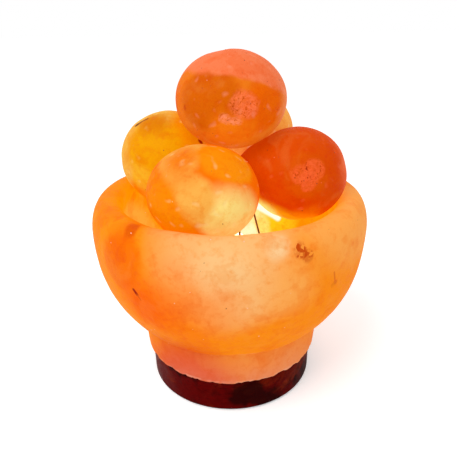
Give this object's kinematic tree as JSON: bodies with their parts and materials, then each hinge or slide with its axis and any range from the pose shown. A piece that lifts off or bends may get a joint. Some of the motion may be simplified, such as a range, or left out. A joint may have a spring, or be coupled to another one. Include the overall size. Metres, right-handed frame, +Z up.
{
  "type": "salt crystal lamp",
  "caption": "Carved salt bowl on a turned wood base, heaped with loose salt balls and lit from inside by a small bulb under a wire guard.",
  "frame": {"origin": "on the surface the lamp stands on, below the middle of the base", "axes": "+Z up; the front of the lamp faces -Y and the cord groove opens at +Y"},
  "size_m": [0.165, 0.165, 0.2049],
  "materials": {
    "stained_wood": "turned, dark stain, gloss lacquer",
    "pad_felt": "felt",
    "screw_steel": "zinc plated",
    "plug_plastic": "moulded",
    "salt_bowl": "carved, rough, translucent, lit from inside",
    "salt_ball_top": "ground, translucent, lit from below",
    "salt_ball_front": "ground, translucent, lit from behind",
    "salt_ball_right": "ground, translucent, lit from inside",
    "salt_ball_left": "ground, translucent, lit from inside",
    "salt_ball_rear": "ground, translucent, lit from inside",
    "guard_wire": "nickel plated wire",
    "holder_plastic": "moulded",
    "core_ceramic": "unglazed",
    "contact_brass": "stamped",
    "shell_brass": "rolled",
    "clip_steel": "spring steel, plated",
    "bulb_frost": "frosted, lit",
    "stem_glass": "clear",
    "lead_nickel": "drawn wire",
    "filament_tungsten": "glowing",
    "cap_nickel": "nickel plated",
    "insulator_glass": "black glass",
    "solder": "soldered"
  },
  "bodies": {
    "base": {"wood_base": "stained_wood", "salt_bowl": "salt_bowl", "foot_pad_1": "pad_felt", "foot_pad_2": "pad_felt", "foot_pad_3": "pad_felt", "base_screw_1": "screw_steel", "base_screw_2": "screw_steel", "base_screw_3": "screw_steel", "salt_plug_1": "plug_plastic", "salt_plug_2": "plug_plastic", "salt_plug_3": "plug_plastic"},
    "ball_top": {"ball_top": "salt_ball_top"},
    "ball_front": {"ball_front": "salt_ball_front"},
    "ball_right": {"ball_right": "salt_ball_right"},
    "ball_left": {"ball_left": "salt_ball_left"},
    "ball_rear": {"ball_rear": "salt_ball_rear"},
    "guard": {"guard_hoop_1": "guard_wire", "guard_hoop_2": "guard_wire", "guard_ring_base": "guard_wire", "guard_ring_mid": "guard_wire"},
    "holder": {"holder_sleeve": "holder_plastic", "holder_cap": "holder_plastic", "holder_core": "core_ceramic", "centre_contact": "contact_brass", "side_contact": "contact_brass", "screw_shell": "shell_brass", "clip_collar": "clip_steel", "terminal_screw_1": "contact_brass", "terminal_screw_2": "contact_brass"},
    "clip_right": {"clip_right": "clip_steel"},
    "clip_left": {"clip_left": "clip_steel"},
    "bulb_tip": {"cap_contact": "solder", "cap_insulator": "insulator_glass"},
    "bulb": {"bulb_cap": "cap_nickel", "bulb_glass": "bulb_frost", "bulb_stem": "stem_glass", "lead_wire_1": "lead_nickel", "lead_wire_2": "lead_nickel", "filament": "filament_tungsten", "support_wire": "lead_nickel"}
  },
  "joints": [
    {"name": "ball_top_lift", "type": "slide", "parent": "base", "child": "ball_top", "axis": [0, 0, 1], "range_m": [0, 0.2]},
    {"name": "ball_front_lift", "type": "slide", "parent": "base", "child": "ball_front", "axis": [0, 0, 1], "range_m": [0, 0.13]},
    {"name": "ball_right_lift", "type": "slide", "parent": "base", "child": "ball_right", "axis": [0, 0, 1], "range_m": [0, 0.13]},
    {"name": "ball_left_lift", "type": "slide", "parent": "base", "child": "ball_left", "axis": [0, 0, 1], "range_m": [0, 0.13]},
    {"name": "ball_rear_lift", "type": "slide", "parent": "base", "child": "ball_rear", "axis": [0, 0, 1], "range_m": [0, 0.13]},
    {"name": "guard_lift", "type": "slide", "parent": "base", "child": "guard", "axis": [0, 0, 1], "range_m": [0, 0.07]},
    {"name": "holder_pull", "type": "slide", "parent": "base", "child": "holder", "axis": [0, 0, -1], "range_m": [0, 0.1]},
    {"name": "clip_right_squeeze", "type": "hinge", "parent": "holder", "child": "clip_right", "pos_m": [0.0147, 0, 0.03], "axis": [0, 1, 0], "range_deg": [0, 8], "stiffness_Nm_per_rad": 0.03, "springref_deg": -5.73},
    {"name": "clip_left_squeeze", "type": "hinge", "parent": "holder", "child": "clip_left", "pos_m": [-0.0147, 0, 0.03], "axis": [0, -1, 0], "range_deg": [0, 8], "stiffness_Nm_per_rad": 0.03, "springref_deg": -5.73},
    {"name": "bulb_rise", "type": "slide", "parent": "holder", "child": "bulb_tip", "axis": [0, 0, 1], "range_m": [0, 0.0113]},
    {"name": "bulb_turn", "type": "hinge", "parent": "bulb_tip", "child": "bulb", "pos_m": [0, 0, 0.05], "axis": [0, 0, 1], "range_deg": [0, 1440]}
  ],
  "couplings": [
    {"joint": "ball_front_lift", "follows": "ball_top_lift", "ratio": 0.65},
    {"joint": "ball_right_lift", "follows": "ball_top_lift", "ratio": 0.65},
    {"joint": "ball_left_lift", "follows": "ball_top_lift", "ratio": 0.65},
    {"joint": "ball_rear_lift", "follows": "ball_top_lift", "ratio": 0.65},
    {"joint": "guard_lift", "follows": "ball_top_lift", "ratio": 0.35},
    {"joint": "bulb_rise", "follows": "bulb_turn", "m_per_rad": 0.00044882}
  ]
}
